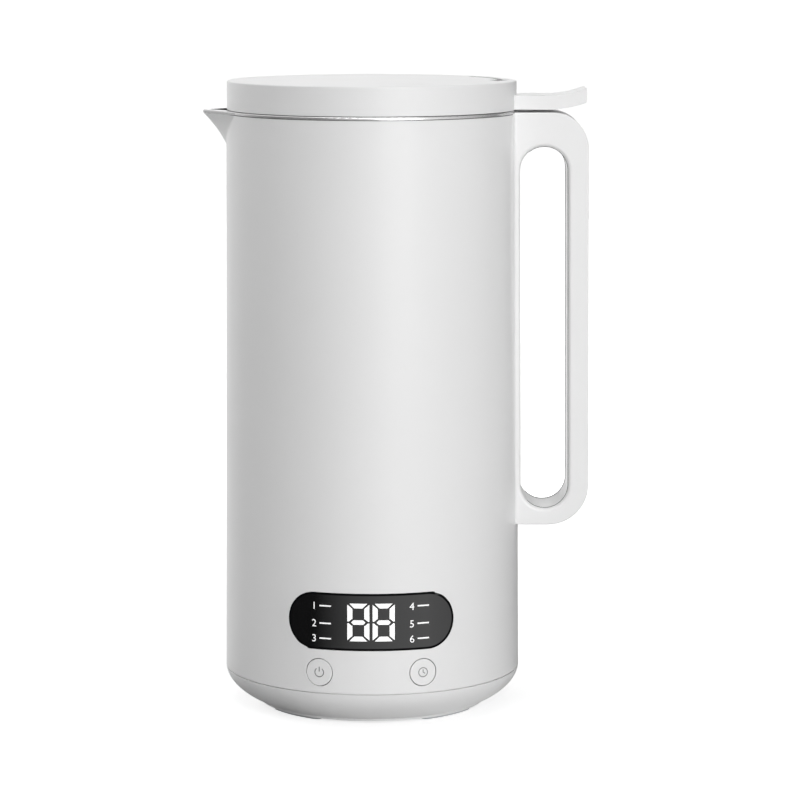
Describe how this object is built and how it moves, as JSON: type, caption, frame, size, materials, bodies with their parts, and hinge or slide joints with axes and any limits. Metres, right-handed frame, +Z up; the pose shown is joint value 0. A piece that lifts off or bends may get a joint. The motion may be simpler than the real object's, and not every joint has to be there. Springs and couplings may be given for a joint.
{
  "type": "soy milk maker",
  "caption": "Countertop soy milk maker: tapered jug with pouring spout, loop handle, lift-off lid with thumb lever, front display and keys, and a heated cup with a bladed motor below.",
  "frame": {"origin": "on the axis of the round body, at the plane it stands on", "axes": "+Z up along the body's axis, +X towards the handle, -X towards the spout, -Y towards the display"},
  "size_m": [0.149, 0.115, 0.2429],
  "materials": {
    "white_plastic": "satin moulded white plastic",
    "liner_plastic": "satin moulded white plastic",
    "key_plastic": "satin white key caps",
    "window_black": "polished smoked black window",
    "digit_white": "milky bars that light up",
    "steel": "drawn stainless steel, satin inside and bright at the rim",
    "steel_parts": "plain machined or pressed steel",
    "silicone": "translucent food-grade silicone",
    "dark_rubber": "dark rubber",
    "grey_rubber": "grey rubber pads",
    "black_plastic": "matt black plastic",
    "frame_plastic": "glass-filled grey plastic",
    "board_green": "printed circuit board with solder mask",
    "parts_plastic": "electronic components",
    "aluminium": "die-cast aluminium",
    "copper": "enamelled copper wire",
    "brass": "tinned brass pins",
    "core_steel": "stacked core sheet",
    "carbon": "pressed carbon",
    "magnet": "nickel-plated magnet",
    "lead_sleeve": "heat-resistant lead insulation"
  },
  "bodies": {
    "housing": {"outer_shell": "white_plastic", "handle_liner": "liner_plastic", "base_cover": "white_plastic", "foot_pads": "grey_rubber", "base_screws": "steel_parts", "inner_cup": "steel", "display_window": "window_black", "digit_segments": "digit_white", "digit_module": "black_plastic", "light_baffles": "black_plastic", "display_board": "board_green", "tact_switches": "black_plastic", "key_boards": "board_green", "support_frame": "frame_plastic", "frame_screws": "steel_parts", "motor_dampers": "dark_rubber", "motor_screws": "steel_parts", "upper_bracket": "aluminium", "lower_bracket": "aluminium", "upper_bearing": "steel_parts", "lower_bearing": "steel_parts", "stator_core": "core_steel", "field_coils": "copper", "brush_holders": "brass", "carbon_brushes": "carbon", "brush_springs": "steel_parts", "motor_bolts": "steel_parts", "seal_housing": "steel", "seal_nut": "steel_parts", "shaft_seal": "dark_rubber", "heating_plate": "aluminium", "heating_tube": "aluminium", "thermostat": "black_plastic", "thermal_fuse": "steel_parts", "temperature_probe": "steel", "power_board": "board_green", "board_parts": "parts_plastic", "board_screws": "steel_parts", "inlet_socket": "black_plastic", "inlet_pins": "brass", "reed_board": "board_green", "wiring": "lead_sleeve"},
    "seal_ring": {"lid_seal": "silicone"},
    "lid": {"lid_cover": "white_plastic", "lid_plug": "white_plastic", "lid_lever": "white_plastic", "lid_magnet": "magnet", "lid_screws": "steel_parts"},
    "rotor": {"motor_shaft": "steel_parts", "armature_core": "core_steel", "armature_windings": "copper", "commutator": "brass", "cooling_fan": "black_plastic", "blade": "steel", "blade_washers": "steel_parts", "blade_nut": "steel"},
    "on_off_key": {"on_off_button": "key_plastic", "on_off_plunger": "black_plastic"},
    "timer_key": {"timer_button": "key_plastic", "timer_plunger": "black_plastic"}
  },
  "joints": [
    {"name": "lid_lift", "type": "slide", "parent": "housing", "child": "seal_ring", "axis": [0, 0, 1], "range_m": [0, 0.06]},
    {"name": "lid_twist", "type": "hinge", "parent": "seal_ring", "child": "lid", "pos_m": [0, 0, 0.232], "axis": [0, 0, 1], "continuous": true},
    {"name": "blade_spin", "type": "hinge", "parent": "housing", "child": "rotor", "pos_m": [0, 0, 0.095], "axis": [0, 0, 1], "continuous": true},
    {"name": "on_off_press", "type": "slide", "parent": "housing", "child": "on_off_key", "axis": [0.342, 0.9397, 0], "range_m": [0, 0.0005], "stiffness_N_per_m": 600, "springref_m": -0.0005},
    {"name": "timer_press", "type": "slide", "parent": "housing", "child": "timer_key", "axis": [-0.342, 0.9397, 0], "range_m": [0, 0.0005], "stiffness_N_per_m": 600, "springref_m": -0.0005}
  ]
}
